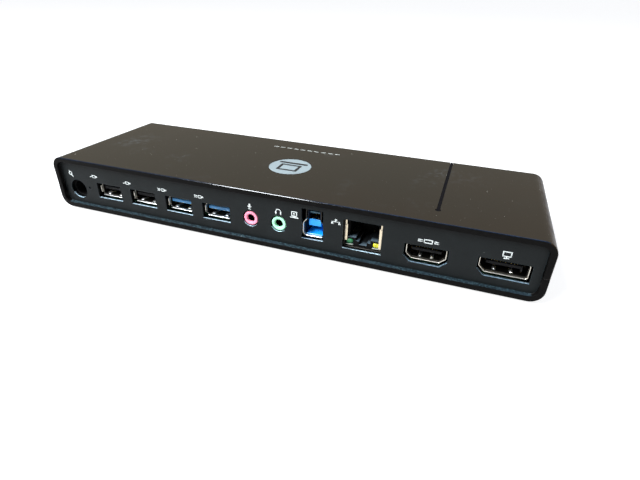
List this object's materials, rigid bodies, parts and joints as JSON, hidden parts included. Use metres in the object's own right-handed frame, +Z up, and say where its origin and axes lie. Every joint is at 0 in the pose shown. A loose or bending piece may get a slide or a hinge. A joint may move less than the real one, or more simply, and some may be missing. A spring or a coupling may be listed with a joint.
{
  "type": "laptop docking station",
  "caption": "Flat glossy-black dock with a row of power, peripheral, audio, host, network and display sockets along one recessed side and rubber feet beneath.",
  "frame": {"origin": "centre of the underside of the bounding box, on the surface that the feet stand on", "axes": "+X along the port face towards the display sockets, -Y out of the port face, +Z up through the glossy top"},
  "size_m": [0.2222, 0.068, 0.0265],
  "materials": {
    "gloss": "piano-gloss moulding, dark warm brown-black",
    "textured": "finely textured black moulding",
    "panel": "fine matte blue-black moulding with pale printed symbols",
    "rubber": "matte black rubber",
    "steel": "bright nickel-plated sheet",
    "brass": "gold-plated spring strip",
    "aluminium": "satin",
    "badge": "pale silver-blue inlay, satin",
    "smoked": "smoked clear plastic, looks black when unlit",
    "board": "green solder mask",
    "chip": "matte black moulding",
    "ferrite": "dark grey sintered body",
    "pad": "soft grey pad",
    "label": "blank matt film",
    "black": "black moulding",
    "blue": "blue moulding",
    "bright_blue": "bright blue moulding",
    "slate": "blue-grey moulding",
    "pink": "pink moulding",
    "green": "pale green moulding",
    "green_lamp": "translucent green lens",
    "yellow_lamp": "translucent yellow lens",
    "white_lamp": "milky lens"
  },
  "bodies": {
    "dock": {"activity_lamp": "yellow_lamp", "audio_chip": "chip", "badge": "badge", "bottom_cover": "textured", "capacitor_1": "aluminium", "capacitor_2": "aluminium", "capacitor_3": "aluminium", "case_screw_1": "steel", "case_screw_2": "steel", "case_screw_3": "steel", "case_screw_4": "steel", "crystal": "steel", "displayport_shell": "steel", "displayport_tongue": "black", "ethernet_insulator": "slate", "ethernet_shell": "steel", "foot_1": "rubber", "foot_2": "rubber", "foot_3": "rubber", "foot_4": "rubber", "front_panel": "panel", "hdmi_shell": "steel", "hdmi_tongue": "black", "headphone_socket": "green", "heat_sink": "aluminium", "host_port_insulator": "bright_blue", "host_port_shell": "steel", "light_pipe": "smoked", "link_lamp": "green_lamp", "main_board": "board", "memory_chip": "chip", "microphone_socket": "pink", "network_chip": "chip", "network_transformer": "black", "port_panel": "panel", "power_inductor_1": "ferrite", "power_inductor_2": "ferrite", "power_lamp": "white_lamp", "power_socket_body": "black", "power_socket_pin": "steel", "rating_label": "label", "status_lamp": "white_lamp", "thermal_pad": "pad", "top_cover": "gloss", "usb_hub_chip": "chip", "usb_shell_1": "steel", "usb_shell_2": "steel", "usb_shell_3": "steel", "usb_shell_4": "steel", "usb_tongue_1": "black", "usb_tongue_2": "black", "usb_tongue_3": "blue", "usb_tongue_4": "blue", "video_chip": "chip"},
    "ethernet_contact_comb": {"ethernet_contacts": "brass"},
    "power_spring": {"power_socket_spring": "brass"},
    "microphone_tip_spring": {"microphone_spring": "brass"},
    "headphone_tip_spring": {"headphone_spring": "brass"}
  },
  "joints": [
    {"name": "ethernet_contacts_bend", "type": "hinge", "parent": "dock", "child": "ethernet_contact_comb", "pos_m": [0.0425, -0.0266, 0.0188], "axis": [1, 0, 0], "range_deg": [0, 10], "stiffness_Nm_per_rad": 0.2},
    {"name": "power_spring_bend", "type": "hinge", "parent": "dock", "child": "power_spring", "pos_m": [-0.09625, -0.0188, 0.0108], "axis": [0, 0, 1], "range_deg": [0, 5], "stiffness_Nm_per_rad": 0.05},
    {"name": "microphone_spring_bend", "type": "hinge", "parent": "dock", "child": "microphone_tip_spring", "pos_m": [-0.00445, -0.0188, 0.01245], "axis": [0, 0, 1], "range_deg": [0, 5], "stiffness_Nm_per_rad": 0.05},
    {"name": "headphone_spring_bend", "type": "hinge", "parent": "dock", "child": "headphone_tip_spring", "pos_m": [0.00865, -0.0188, 0.01245], "axis": [0, 0, 1], "range_deg": [0, 5], "stiffness_Nm_per_rad": 0.05}
  ]
}
